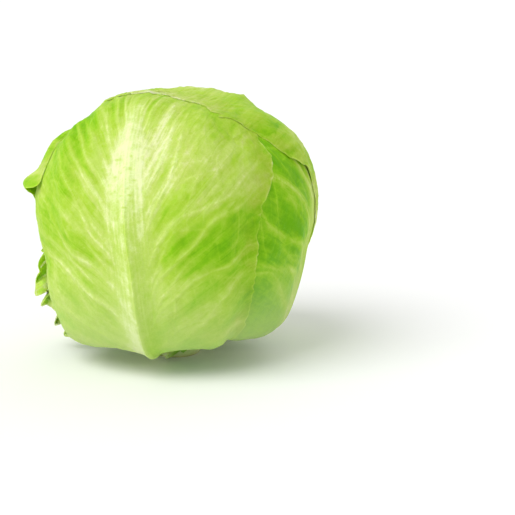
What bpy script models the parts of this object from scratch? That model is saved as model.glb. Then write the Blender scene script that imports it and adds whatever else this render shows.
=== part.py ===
"""Iceberg lettuce: one whole head, standing on its cut stem.

The head is built as it grew: a stem in the middle, a heart of small packed leaves round it, head leaves
wrapped over the heart one after another, and four broad wrapper leaves outside them. Every leaf starts at
the stem under the head, climbs its side and closes over the top. A leaf lies on all the leaves inside it,
so its distance from the head's centre is the heart's radius plus the thickness of each leaf beneath.

Units are metres. +Z is up, the front is -Y, and the origin is the middle of the stem's cut face.
"""

import math
from typing import NamedTuple

import bmesh
import bpy
import numpy as np

MM = 0.001

# The head's centre, and the heart's skin round it: elevation in degrees and distance from the centre
CENTRE_Z = 86 * MM
HEART_PROFILE = (
    (-90, 62 * MM),
    (-76, 65 * MM),
    (-66, 70 * MM),
    (-57, 78 * MM),
    (-50, 83 * MM),
    (-44, 80 * MM),
    (-36, 76 * MM),
    (-18, 68 * MM),
    (0, 68 * MM),
    (15, 67 * MM),
    (35, 62 * MM),
    (55, 55 * MM),
    (75, 49 * MM),
    (90, 46 * MM),
)
PROFILE_BLEND = 8

# Low swellings and hollows of the whole head: azimuth, elevation and spread in degrees, height
LUMPS = (
    (-90, 0, 40, 3.0 * MM),
    (75, 38, 25, 2.0 * MM),
    (60, 64, 22, -2.5 * MM),
    (-20, 80, 30, 1.0 * MM),
    (160, 20, 40, 2.5 * MM),
    (95, -35, 28, -2.5 * MM),
    (16, -54, 18, -4.5 * MM),
    (-72, -50, 22, 5.0 * MM),
)

# Leaves
GAP = 1.0 * MM
BLADE = 0.8 * MM
BLADE_RADIUS = 79 * MM
FOOT_WIDTH = 0.22
RIB_TAPER = 1.4
ROW_BEND = 0.20
DRAPE_START = 0.09
DRAPE_END = 0.42
BRIDGE = 2.1

# The stem, from its cut face up into the heart: height and radius
STEM_PROFILE = (
    (0.0, 12.5 * MM),
    (1.2 * MM, 13.8 * MM),
    (4.0 * MM, 15.4 * MM),
    (9.0 * MM, 16.4 * MM),
    (24.0 * MM, 16.0 * MM),
    (40.0 * MM, 13.0 * MM),
    (56.0 * MM, 8.5 * MM),
    (68.0 * MM, 3.5 * MM),
)
STEM_TIP = 71.0 * MM
STEM_SIDES = 20
SOCKET_GAP = 0.5 * MM

# The heart's own lapped leaves
HEART_SIDES = 30
HEART_ROWS = 18
HEART_LEAVES = 5
HEART_STEP = 1.6 * MM

GOLDEN_ANGLE = 137.5

PALE_RIB = (0.80, 0.88, 0.58)
WRAPPER_GREEN = (0.42, 0.68, 0.12)
HEAD_GREEN = (0.62, 0.80, 0.26)
HEART_YELLOW = (0.83, 0.86, 0.42)


def smooth_step(value):
    """0 below 0, 1 above 1, and smooth between them."""
    t = np.clip(value, 0.0, 1.0)
    return t * t * (3 - 2 * t)


def bearing(azimuth, elevation):
    """Unit vector for degrees of azimuth from the front towards +X, and of elevation."""
    a, e = math.radians(azimuth), math.radians(elevation)
    return np.array([math.sin(a) * math.cos(e), -math.cos(a) * math.cos(e), math.sin(e)])


class Flare(NamedTuple):
    """A place on a leaf where the blade stands off the head. Spread is in head radii."""

    across: float
    along: float
    spread: float
    height: float


class Pleat(NamedTuple):
    """A long low fold that runs out from the foot to a place on the margin. Spread is in head radii."""

    across: float
    spread: float
    height: float


class Leaf(NamedTuple):
    """One leaf. Its blade is a flat sheet wrapped on the head round the point that it faces.

    Across is -1 to 1 between its side margins, and along is 0 at the stem to 1 at its tip. Azimuth and
    pitch are in degrees. Sizes in the flat sheet are in head radii: foot is from the stem's axis to the
    blade's base, half_width is at its broadest, reach is past the head's top, and start, sway and lean move
    the midrib sideways at its foot, middle and tip. Skew is the share that the right side gains in width,
    and shoulder the share that it gains above the middle only.
    """

    name: str
    azimuth: float
    pitch: float
    half_width: float
    reach: float
    skew: float = 0.0
    shoulder: float = 0.0
    start: float = 0.0
    sway: float = 0.0
    lean: float = 0.0
    foot: float = 0.24
    rib_height: float = 4.0 * MM
    rib_width: float = 9.0 * MM
    vein: float = 0.5 * MM
    wave: float = 1.2 * MM
    waves: int = 11
    tip_wave: float = 0.3
    teeth: float = 0.02
    turn: float = 0.0
    flares: tuple = ()
    pleats: tuple = ()
    columns: int = 26
    rows: int = 20

    def axes(self):
        """The direction that the blade faces, and its right and up along the head's surface."""
        centre = bearing(self.azimuth, self.pitch)
        right = bearing(self.azimuth + 90, 0)
        return centre, right, np.cross(centre, right)

    def base(self):
        """Where the blade starts in the flat sheet, next to the stem."""
        return -math.radians(90 + self.pitch) + self.foot

    def length(self):
        """From the base to the tip in the flat sheet."""
        return math.radians(90 - self.pitch) + self.reach - self.base()

    def width(self, along):
        """Half the sheet's width: a clasping foot that soon fans out, and a rounded top."""
        fan = np.sin(np.clip(along / 0.55, 0, 1) * math.pi / 2) ** 0.62
        top = 1 - 0.42 * smooth_step((along - 0.62) / 0.42) ** 1.5
        return FOOT_WIDTH + (self.half_width - FOOT_WIDTH) * fan * top

    def midline(self, along):
        """Sideways place of the midrib in the flat sheet: from start it bows by sway and ends at lean."""
        return self.start * (1 - along) ** 2 + 4 * self.sway * along * (1 - along) + self.lean * along**2

    def side(self, sign, along):
        """How much wider than half_width the right side is, or the left side for a negative sign."""
        shoulder = self.shoulder * smooth_step((along - 0.5) / 0.25)
        return 1 + self.skew * np.sign(sign) + np.where(sign > 0, shoulder, 0.0)

    def aside(self, across, along):
        """Sideways distance from the midrib in the flat sheet."""
        return across * self.width(along) * self.side(across, along)

    def directions(self, across, along):
        """Unit vectors from the head's centre for places on the blade."""
        x = self.midline(along) + self.aside(across, along)
        y = self.base() + self.length() * along - ROW_BEND * x**2
        angle = np.hypot(x, y)
        shrink = np.sinc(angle / math.pi)
        centre, right, up = self.axes()
        cos = np.cos(angle)
        return cos[..., None] * centre + (shrink * x)[..., None] * right + (shrink * y)[..., None] * up

    def places(self, directions):
        """Across and along for unit vectors: the reverse of directions."""
        centre, right, up = self.axes()
        to_right, to_up = directions @ right, directions @ up
        side = np.maximum(np.hypot(to_right, to_up), 1e-9)
        angle = np.arctan2(side, directions @ centre)
        x, y = angle * to_right / side, angle * to_up / side
        along = (y - self.base() + ROW_BEND * x**2) / self.length()
        held = np.clip(along, 0, 1)
        aside = x - self.midline(held)
        return aside / (self.width(held) * self.side(aside, held)), along

    def edge(self, across, along):
        """0 in the blade's middle, 1 on its margins."""
        return np.clip(np.maximum(np.abs(across), along), 0, 1)

    def rib(self, across, along, spread=1.0):
        """Height of the midrib, broad and deep at the foot and gone before the tip."""
        held = np.clip(along, 0, 1)
        offset = self.aside(across, held) * BLADE_RADIUS
        broad = self.rib_width * (1 - 0.72 * held) * spread
        return self.rib_height * (1 - held) ** RIB_TAPER * np.exp(-((offset / broad) ** 2))

    def thickness(self, across, along):
        """Blade and midrib together."""
        return BLADE + self.rib(across, along)

    def stand_off(self, across, along):
        """How far the blade stands off the head for its flares and pleats."""
        total = np.zeros(np.shape(across))
        held = np.clip(along, 0, 1)
        for spot in self.flares:
            beside = self.aside(across, held) - self.aside(spot.across, held)
            apart = np.hypot(beside, (along - spot.along) * self.length())
            total = total + spot.height * np.exp(-((apart / spot.spread) ** 2))
        for pleat in self.pleats:
            middle = pleat.across * (0.25 + 0.75 * held)
            beside = self.aside(across, held) - self.aside(middle, held)
            ends = smooth_step(held / 0.4) * smooth_step((1 - held) / 0.3)
            total = total + pleat.height * ends * np.exp(-((beside / pleat.spread) ** 2))
        return total

    def margin_wave(self, across, along, start):
        """Height that the waves reach: nothing inside start, and less at the tip than at the sides."""
        near = smooth_step((self.edge(across, along) - start) / (1 - start))
        return self.wave * near * (1 - (1 - self.tip_wave) * smooth_step((along - 0.6) / 0.3))

    def lift(self, across, along):
        """Waves that grow towards the margins, flares and pleats."""
        round_blade = np.arctan2(self.aside(across, along), (along - 0.45) * self.length())
        ripple = 0.5 + 0.5 * np.sin(self.waves * round_blade + self.turn)
        return self.margin_wave(across, along, 0.5) * ripple + self.stand_off(across, along)

    def room(self, across, along):
        """The space that this leaf takes under the next one, which bridges its rib and its ripples."""
        rib = self.rib(across, along, BRIDGE)
        wave = self.margin_wave(across, along, 0.35)
        return GAP + BLADE + self.vein + rib + wave + self.stand_off(across, along)

    def cover(self, across, along):
        """1 over the blade, falling to 0 a little way outside it."""
        held = np.clip(along, 0, 1)
        beside = (np.abs(across) - 1) * self.width(held)
        beyond = np.maximum(along - 1, -along) * self.length()
        outside = np.maximum(beside, beyond)
        return 1 - smooth_step((outside - DRAPE_START) / (DRAPE_END - DRAPE_START))


def heart_radius(directions):
    """Distance of the heart's skin from the head's centre: a fat turned oval with a flattened foot."""
    elevations = np.arange(-90, 91)
    corners = np.interp(elevations, *zip(*HEART_PROFILE))
    window = np.hanning(2 * PROFILE_BLEND + 1)
    padded = np.pad(corners, PROFILE_BLEND, mode="reflect")
    rounded = np.convolve(padded, window / window.sum(), mode="valid")
    elevation = np.degrees(np.arcsin(np.clip(directions[..., 2], -1, 1)))
    oval = np.interp(elevation, elevations, rounded)
    for azimuth, elevation, spread, height in LUMPS:
        apart = np.degrees(np.arccos(np.clip(directions @ bearing(azimuth, elevation), -1, 1)))
        oval = oval + height * np.exp(-((apart / spread) ** 2))
    return oval


def support(directions, beneath):
    """Distance from the head's centre of the skin that the next leaf lies on."""
    radius = heart_radius(directions)
    for leaf in beneath:
        across, along = leaf.places(directions)
        radius = radius + leaf.cover(across, along) * leaf.room(across, along)
    return radius


def head_leaves():
    """The leaves between the heart and the wrappers, each a golden angle on from the last."""
    leaves = []
    for number in range(4):
        leaves.append(
            Leaf(
                name=f"head_leaf_{number + 1}",
                azimuth=20 + GOLDEN_ANGLE * number,
                pitch=12,
                half_width=1.02 + 0.02 * number,
                reach=0.35 + 0.02 * number,
                lean=0.08 * (-1) ** number,
                foot=0.27 - 0.01 * number,
                rib_height=2.0 * MM + 0.3 * MM * number,
                rib_width=11 * MM,
                vein=0.3 * MM,
                wave=0.4 * MM,
                waves=5,
                turn=number,
                columns=16,
                rows=16,
            )
        )
    return leaves


def wrapper_leaves():
    """The four outer leaves, the innermost first."""
    right = Leaf(
        "wrapper_leaf_right", 92, 4, 1.12, 0.12, skew=-0.08, lean=0.05, wave=1.8 * MM, waves=14, turn=1.0,
        flares=(Flare(0.9, 0.3, 0.2, 3 * MM),),
        pleats=(Pleat(-0.7, 0.10, 1.2 * MM), Pleat(0.5, 0.10, 1.5 * MM)),
    )
    front = Leaf(
        "wrapper_leaf_front", -18, 8, 1.21, 0.10, skew=-0.174, shoulder=0.21, start=0.06, sway=0.07,
        lean=-0.25, foot=0.225, rib_height=6.0 * MM, rib_width=11 * MM, wave=1.8 * MM, waves=15,
        teeth=0.03, turn=0.4,
        pleats=(Pleat(-0.60, 0.09, 2.0 * MM), Pleat(-0.33, 0.07, 1.2 * MM), Pleat(0.6, 0.10, 1.2 * MM)),
        columns=30, rows=22,
    )
    left = Leaf(
        "wrapper_leaf_left", -142, 6, 1.0, 0.20, skew=-0.1, lean=0.05, wave=2.0 * MM, waves=15, turn=2.2,
        teeth=0.03, flares=(Flare(1.0, 0.56, 0.13, 9 * MM), Flare(1.0, 0.30, 0.2, 3 * MM)),
        pleats=(Pleat(-0.5, 0.10, 1.5 * MM), Pleat(0.5, 0.10, 1.2 * MM)),
    )
    back = Leaf(
        "wrapper_leaf_back", 152, 30, 1.12, 0.38, lean=-0.05, wave=1.2 * MM, waves=14, tip_wave=0.5,
        flares=(Flare(-0.95, 0.75, 0.2, 3 * MM), Flare(1.0, 0.5, 0.25, 3 * MM)),
        pleats=(Pleat(-0.4, 0.10, 1.8 * MM), Pleat(0.45, 0.10, 1.5 * MM)),
    )
    return [right, front, left, back]


def blade_grid(leaf):
    """Across, along and vein height at each corner of the blade's grid, with a cut margin.

    The columns are veins that fan out from the midrib's foot, and every other one is raised.
    """
    column, row = np.meshgrid(np.arange(leaf.columns + 1), np.arange(leaf.rows + 1))
    side, along = 2 * column / leaf.columns - 1, row / leaf.rows
    across = np.sign(side) * np.abs(side) ** (1 + 1.2 * (1 - along) ** 2)
    notch = leaf.teeth * np.sin(2.3 * (column + row) + 1.7 * np.sin(column - row))
    on_side = (np.abs(side) > 0.999) & (along > 0.12)
    across = across * np.where(on_side, 1 + notch, 1)
    vein = np.where(column % 2 == 0, leaf.vein, 0.0) * smooth_step(along / 0.2) * (1 - 0.6 * along)
    along = along * np.where(along > 0.999, 1 + notch * 0.6, 1)
    return across, along, vein


def grid_normals(points):
    """Unit normals of a grid of points, pointing away from the head's centre."""
    normals = np.cross(np.gradient(points, axis=1), np.gradient(points, axis=0))
    normals /= np.linalg.norm(normals, axis=-1, keepdims=True)
    outward = points - np.array([0, 0, CENTRE_Z])
    facing = np.sign((normals * outward).sum(-1, keepdims=True))
    return normals * facing


def add_material(obj, colour, roughness):
    """A Principled material of the piece's own colour."""
    material = bpy.data.materials.new(obj.name)
    material.use_nodes = True
    shader = material.node_tree.nodes["Principled BSDF"]
    shader.inputs["Base Color"].default_value = (*colour, 1)
    shader.inputs["Roughness"].default_value = roughness
    shader.inputs["Metallic"].default_value = 0.0
    obj.data.materials.append(material)


def mesh_object(name, points, triangles, colour, roughness=0.45):
    """One named object from points and triangles, its faces turned outwards."""
    mesh = bpy.data.meshes.new(name)
    mesh.from_pydata([tuple(p) for p in points], [], triangles)
    shape = bmesh.new()
    shape.from_mesh(mesh)
    bmesh.ops.recalc_face_normals(shape, faces=shape.faces)
    shape.to_mesh(mesh)
    shape.free()
    mesh.shade_smooth()
    mesh.set_sharp_from_angle(angle=math.radians(50))
    obj = bpy.data.objects.new(name, mesh)
    bpy.context.scene.collection.objects.link(obj)
    add_material(obj, colour, roughness)
    return obj


def add_leaf(leaf, beneath, colour):
    """A leaf as one thin closed solid lying on the leaves beneath it."""
    across, along, vein = blade_grid(leaf)
    directions = leaf.directions(across, along)
    radius = support(directions, beneath) + GAP + leaf.lift(across, along)
    inner = directions * radius[..., None] + np.array([0, 0, CENTRE_Z])
    thick = leaf.thickness(across, along) + vein
    outer = inner + grid_normals(inner) * thick[..., None]
    points = np.concatenate([inner.reshape(-1, 3), outer.reshape(-1, 3)])
    columns, rows = leaf.columns, leaf.rows
    wide = columns + 1
    other = wide * (rows + 1)
    triangles = []
    for row in range(rows):
        for column in range(columns):
            a = row * wide + column
            b, c, d = a + 1, a + wide + 1, a + wide
            for corners in ((a, b, c), (a, c, d)):
                triangles.append(corners)
                triangles.append(tuple(other + i for i in reversed(corners)))
    foot = list(range(wide))
    right = [row * wide + columns for row in range(1, rows + 1)]
    tip = [rows * wide + column for column in range(columns - 1, -1, -1)]
    left = [row * wide for row in range(rows - 1, 0, -1)]
    rim = foot + right + tip + left
    for i, j in zip(rim, rim[1:] + rim[:1]):
        triangles.append((j, i, other + i))
        triangles.append((j, other + i, other + j))
    return mesh_object(leaf.name, points, triangles, colour)


def ring_solid(name, rings, top, bottom, colour, roughness=0.45):
    """A closed solid from rings of points, fanned to one point at each end."""
    sides = len(rings[0])
    points = [bottom] + [p for ring in rings for p in ring] + [top]
    triangles = []
    for i in range(sides):
        j = (i + 1) % sides
        triangles.append((0, 1 + j, 1 + i))
        last = 1 + (len(rings) - 1) * sides
        triangles.append((last + i, last + j, len(points) - 1))
        for row in range(len(rings) - 1):
            a, b = 1 + row * sides + i, 1 + row * sides + j
            triangles.append((a, b, b + sides))
            triangles.append((a, b + sides, a + sides))
    return mesh_object(name, points, triangles, colour, roughness)


def circle(radius, height, sides):
    """Points of a level ring round the stem's axis."""
    turns = np.linspace(0, 2 * math.pi, sides, endpoint=False)
    return [(radius * math.cos(t), radius * math.sin(t), height) for t in turns]


def add_stem():
    """The solid stem: a flat cut face below, and a cone that ends inside the heart."""
    rings = [circle(radius, height, STEM_SIDES) for height, radius in STEM_PROFILE]
    return ring_solid("stem", rings, (0, 0, STEM_TIP), (0, 0, 0), PALE_RIB, 0.55)


def heart_relief(directions):
    """Steps where the heart's own leaves lap over each other."""
    raised = np.zeros(directions.shape[:-1])
    for number in range(HEART_LEAVES):
        leaf = Leaf(f"heart_{number}", 40 + GOLDEN_ANGLE * number, 20, 0.95, 0.25, sway=0.1)
        across, along = leaf.places(directions)
        apart = (leaf.edge(np.abs(across), along) - 0.88) / 0.12
        raised = raised + HEART_STEP * (1 - smooth_step(apart)) * np.clip(along * 3, 0, 1)
    return raised


def add_heart():
    """The heart: lapped leaves grown tight round the stem, one solid with a socket that the stem fills."""
    rings = []
    for height, radius in reversed(STEM_PROFILE[4:]):
        rings.append(circle(radius + SOCKET_GAP, height + SOCKET_GAP, HEART_SIDES))
    rim_angle = math.asin((STEM_PROFILE[4][1] + SOCKET_GAP + 3 * MM) / HEART_PROFILE[0][1])
    for row in range(HEART_ROWS):
        down = -math.pi / 2 + rim_angle + (math.pi - rim_angle) * row / HEART_ROWS
        turns = np.linspace(0, 2 * math.pi, HEART_SIDES, endpoint=False)
        level = np.full(HEART_SIDES, math.cos(down))
        directions = np.stack([level * np.cos(turns), level * np.sin(turns),
                               np.full(HEART_SIDES, math.sin(down))], axis=-1)
        radius = heart_radius(directions) - HEART_STEP * HEART_LEAVES + heart_relief(directions)
        points = directions * radius[:, None] + np.array([0, 0, CENTRE_Z])
        rings.append([tuple(p) for p in points])
    crown = CENTRE_Z + HEART_PROFILE[-1][1] - HEART_STEP * HEART_LEAVES
    socket_tip = STEM_TIP + 2 * SOCKET_GAP
    return ring_solid("heart", rings, (0, 0, crown), (0, 0, socket_tip), HEART_YELLOW)


def main():
    for obj in list(bpy.data.objects):
        bpy.data.objects.remove(obj)
    add_stem()
    add_heart()
    inside = head_leaves()
    for number, leaf in enumerate(inside):
        add_leaf(leaf, inside[:number], HEAD_GREEN)
    outside = wrapper_leaves()
    for number, leaf in enumerate(outside):
        add_leaf(leaf, inside + outside[:number], WRAPPER_GREEN)


main()
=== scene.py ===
"""Iceberg lettuce: the looks of the whole head, standing on a pale floor in soft light.

The four wrapper leaves are modelled again as fine sheets. Each lies where its solid does, with its folds, and
adds strands that run up in the midrib and fan out from it as veins, branches between them, a puffed blade,
and a cut and frilled margin that settles on the leaves beneath, for which the head is a little fuller here.
The left leaf has a pointed lobe and a shorter tip, and the back leaf reaches less far over the top. The stem,
the heart and the head leaves keep their solids and get materials.

Units are metres. +Z is up and the front is -Y. The veins are grown in millimetres of a leaf's flat sheet.
"""

import math
import random
from itertools import product
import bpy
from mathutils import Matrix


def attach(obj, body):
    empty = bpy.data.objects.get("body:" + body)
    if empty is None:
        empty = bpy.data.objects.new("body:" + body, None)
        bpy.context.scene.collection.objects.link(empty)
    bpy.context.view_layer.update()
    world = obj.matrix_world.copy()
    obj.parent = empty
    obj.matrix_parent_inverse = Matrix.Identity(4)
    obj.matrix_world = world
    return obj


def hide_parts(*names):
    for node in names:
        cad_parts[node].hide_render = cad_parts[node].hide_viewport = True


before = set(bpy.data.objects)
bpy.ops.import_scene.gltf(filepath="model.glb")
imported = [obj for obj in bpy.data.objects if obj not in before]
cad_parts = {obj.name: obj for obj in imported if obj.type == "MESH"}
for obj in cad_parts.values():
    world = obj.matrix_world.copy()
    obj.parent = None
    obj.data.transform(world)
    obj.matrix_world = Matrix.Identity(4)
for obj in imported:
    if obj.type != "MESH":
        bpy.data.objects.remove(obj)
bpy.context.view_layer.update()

from types import SimpleNamespace
from typing import NamedTuple

import bpy
import numpy as np
from mathutils import Matrix, Vector, kdtree

MM = 0.001

# The head's centre, and the heart's skin round it: elevation in degrees and radius in millimetres
CENTRE_Z = 86 * MM
HEART_PROFILE = (
    (-90, 62), (-76, 65), (-66, 70), (-57, 78), (-50, 83), (-44, 80), (-36, 76), (-18, 68), (0, 68), (15, 67),
    (35, 62), (55, 55), (75, 49), (90, 46),
)
PROFILE_BLEND = 8

# Low swellings and hollows of the head: azimuth, elevation and spread in degrees, height in millimetres
LUMPS = (
    (-90, 0, 40, 6.5), (-84, 40, 22, 1.8), (75, 38, 25, 3.5), (85, 5, 30, 2.0), (60, 64, 22, -2.5),
    (-50, 77, 32, 7.5), (160, 20, 40, 2.5), (95, -35, 28, -2.5), (16, -54, 18, -4.5), (-72, -50, 22, 5.5),
)

# Leaves: the gap between two, how thick blade and margin are, and how close a settled margin lies
GAP = 1.0 * MM
BLADE = 0.8 * MM
MARGIN = 0.3 * MM
TOUCH = 0.1 * MM
HEAD_LEAVES = 4
GOLDEN_ANGLE = 137.5

# Where a blade starts to wave, thin out and settle on what is beneath, from 0 in its middle to 1 on its
# margin, and the share of waves and pleats that it keeps
WAVE_START = 0.5
THIN_START = 0.7
SETTLE_START = 0.68
SETTLE_END = 0.95
SETTLED_WAVE = 0.06

# A leaf's form: radius of the head for its flat sheet, half its width at the foot, its rib's taper, and how
# much its rows bend
BLADE_RADIUS = 79 * MM
FOOT_WIDTH = 0.22
RIB_TAPER = 1.4
ROW_BEND = 0.20

# The room of a leaf under the next one: where its waves count, how much broader than its rib the bridge over
# it is, and how far outside the leaf, in head radii, the room starts to fade and ends
ROOM_START = 0.35
BRIDGE = 2.1
DRAPE_START = 0.09
DRAPE_END = 0.42

# Fine sheets: cells of the front leaf and of the others, how many lie along one cell of the inner face, how
# many the drape over what is beneath spans to each side, and the angle of a sharp edge
FRONT_CELLS = 282
OTHER_CELLS = 252
STRIDE = 3
DRAPE_CELLS = 1
SHARP = math.radians(65)

# Places of a sheet's faces in its texture: left, bottom, width and height
OUTER_ISLAND = (0.005, 0.005, 0.70, 0.99)
INNER_ISLAND = (0.715, 0.005, 0.28, 0.28)
RIM_ISLAND = (0.715, 0.30, 0.28, 0.12)

# Cut margins: lobes to a radian, how much finer the teeth are, how deep they cut as a share of the leaf, and
# the height of frill that adds a whole leaf to that
LOBES_ROUND = 12
TEETH = 3.1
RAGGED = 0.010
FRILL_CUT = 170 * MM

# Frills: where they begin, how many lie to a radian, their curls, the curls' drift, least height
FRILL_START = 0.86
FRILLS_ROUND = 9
CURLS = 4.2
CURL_DRIFT = 5.0
FRILL_HEIGHT = 0.1 * MM

# Veins, in millimetres of the flat sheet, with places along the midrib as shares of the leaf's length
STEP = 0.4
CELL = 0.5
FIRST_VEIN = 0.08
LAST_VEIN = 0.76
FAN_START = -0.4
FAN_STEPS = np.linspace(FAN_START, 1.0, 71)
BAND_ALONG = (0.0, 0.10, 0.20, 0.32, 0.45, 0.58, 0.80, 0.92, 1.0)
BAND_WIDTH = (7.0, 8.5, 11.0, 15.5, 16.5, 12.5, 6.0, 3.0, 1.5)

# Strands on each side of the midrib, the shift of each one's thinner twin, the share of the band that they
# fill, and the tapers of both
STRANDS = 9
TWIN_SHIFT = 0.16
STRAND_BAND = 0.62
MAIN_TAPERS = ((1.2, 0.55, 150), (0.7, 0.35, 120))

# Side veins and net: ranges of spacing and of turn in degrees, taper as in run_vein, and longest length
SIDE_VEINS = ((10, 20), (20, 42), (0.6, 0.3, 90), 60)
NET_VEINS = ((6, 11), (45, 80), (0.45, 0.12, 60), 16)

# Noise on the blade, in layers: width and length of a lump in millimetres, height, own seed
SOFT = ((24, 32, 1.0, 3),)
PATCH = ((26, 30, 0.4, 5),)
FIBRE = ((1 / 0.8, 50, 0.10, 9), (1 / 1.7, 30, 0.06, 10))
DIMPLE = ((5, 6, 0.24, 13), (2.4, 2.8, 0.12, 14))

# The same, with the width as a share of the midrib from vein to vein, and the length out along the veins
VARIED = ((1 / 18, 20, 0.35, 4),)
PLEAT = ((1 / 13, 60, 1.0, 6),)
STREAK = ((1 / 42, 34, 0.10, 7), (1 / 95, 22, 0.07, 8))
CRINKLE = ((1 / 60, 9, 0.18, 12),)

# Heights and widths on the blade, in millimetres
SOFT_FOLD = 0.7
PLEAT_FOLD = 0.9
PUFF_FOLD = 0.35
PUFF_WIDTH = 5
KEEL_HEIGHT = 2.0
KEEL_WIDTH = 3.0
MARK_DEPTH = 0.15

# Glow of the veins: class, the share of the dark that it takes off, how many of their widths and what more it
# reaches, and the height of a vein that has all of it
GLOWS = (
    ("mains", 0.55, 0.8, 0.2, 0.5), ("mains", 0.62, 1.8, 0.9, 0.5),
    ("branched", 0.34, 1.0, 0.1, 0.3), ("net", 0.24, 1.0, 0.1, 0.1),
)

# Paleness of the plain blade, what its margin and a painted highlight in the middle add to it, what the
# painted light and shade on the keel's flanks add and take off, and what the painted shade under the foot and
# marks take off
BASE_PALE = 0.46
EDGE_GLOW = 0.2
MIDDLE_PALE_AND_HIGHLIGHT = 0.28
MIDDLE_ALONG = 0.62
FLANK_LIGHT_AND_SHADE = 0.35
UNDER_SHADE = 0.50
MARK_SHADE = 0.22

# Colours of the leaves from the greenest blade to the palest rib
LEAF_RAMP = ((0.0, "#6AAC08"), (0.25, "#8AC01A"), (0.5, "#A8CC40"), (0.75, "#C0D86C"), (1.0, "#E4EEB2"))
FOOT_COLOUR = "#BACB8C"


def smooth_step(value):
    """0 below 0, 1 above 1, and smooth between them."""
    t = np.clip(value, 0.0, 1.0)
    return t * t * (3 - 2 * t)


def bearing(azimuth, elevation):
    """Unit vector for degrees of azimuth from the front towards +X, and of elevation."""
    a, e = math.radians(azimuth), math.radians(elevation)
    return np.array([math.sin(a) * math.cos(e), -math.cos(a) * math.cos(e), math.sin(e)])


def hill(apart, spread):
    """1 where apart is 0, falling smoothly to nothing within a few spreads."""
    return np.exp(-((apart / spread) ** 2))


class Flare(NamedTuple):
    """A place on a leaf that stands off the head, or is paler, by a height. Spread is in head radii."""

    across: float
    along: float
    spread: float
    height: float


class Pleat(NamedTuple):
    """A long low fold that runs out from the foot to a place on the margin. Spread is in head radii."""

    across: float
    spread: float
    height: float


class Lobe(NamedTuple):
    """Where the right side of a leaf, or the left for side -1, is broader, and how far below and above."""

    side: int
    along: float
    below: float
    above: float
    share: float


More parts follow.
